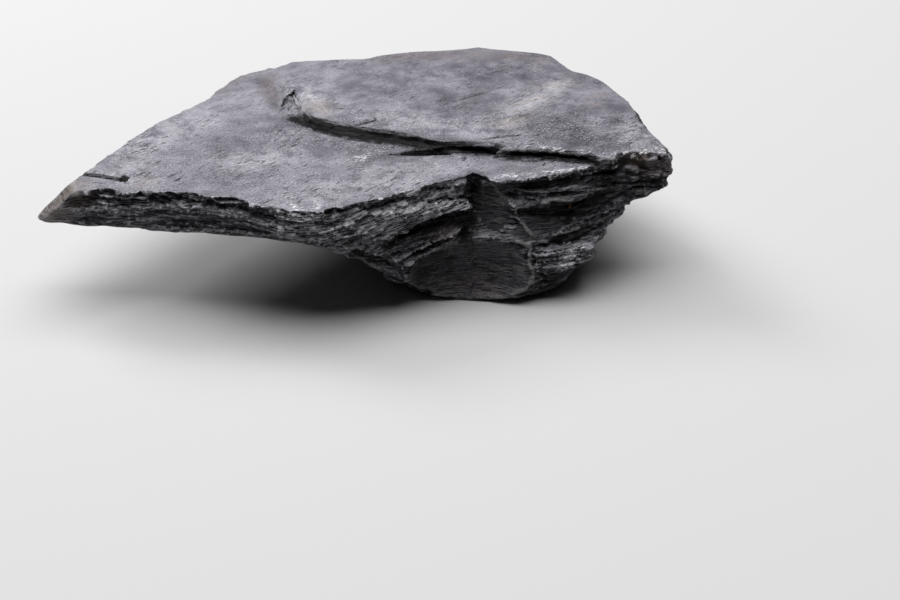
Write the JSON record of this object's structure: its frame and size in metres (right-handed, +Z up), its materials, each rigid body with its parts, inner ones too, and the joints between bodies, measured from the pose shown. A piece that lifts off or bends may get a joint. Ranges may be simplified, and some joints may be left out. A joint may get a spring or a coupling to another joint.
{
  "type": "slate rock",
  "caption": "Broken slab of layered slate with a flat top, a thin raised cap sheet, a wing that juts out to one side and a thick keel that it rests on.",
  "frame": {"origin": "on the ground, under the middle of the stone's box", "axes": "+Z up, +X along the stone towards the thick end, -Y towards the broken front wall"},
  "size_m": [0.1536, 0.0968, 0.0336],
  "materials": {
    "slate": "matt, dry cleavage face with darker broken edges"
  },
  "bodies": {
    "root": {"slate_rock": "slate"}
  },
  "joints": []
}
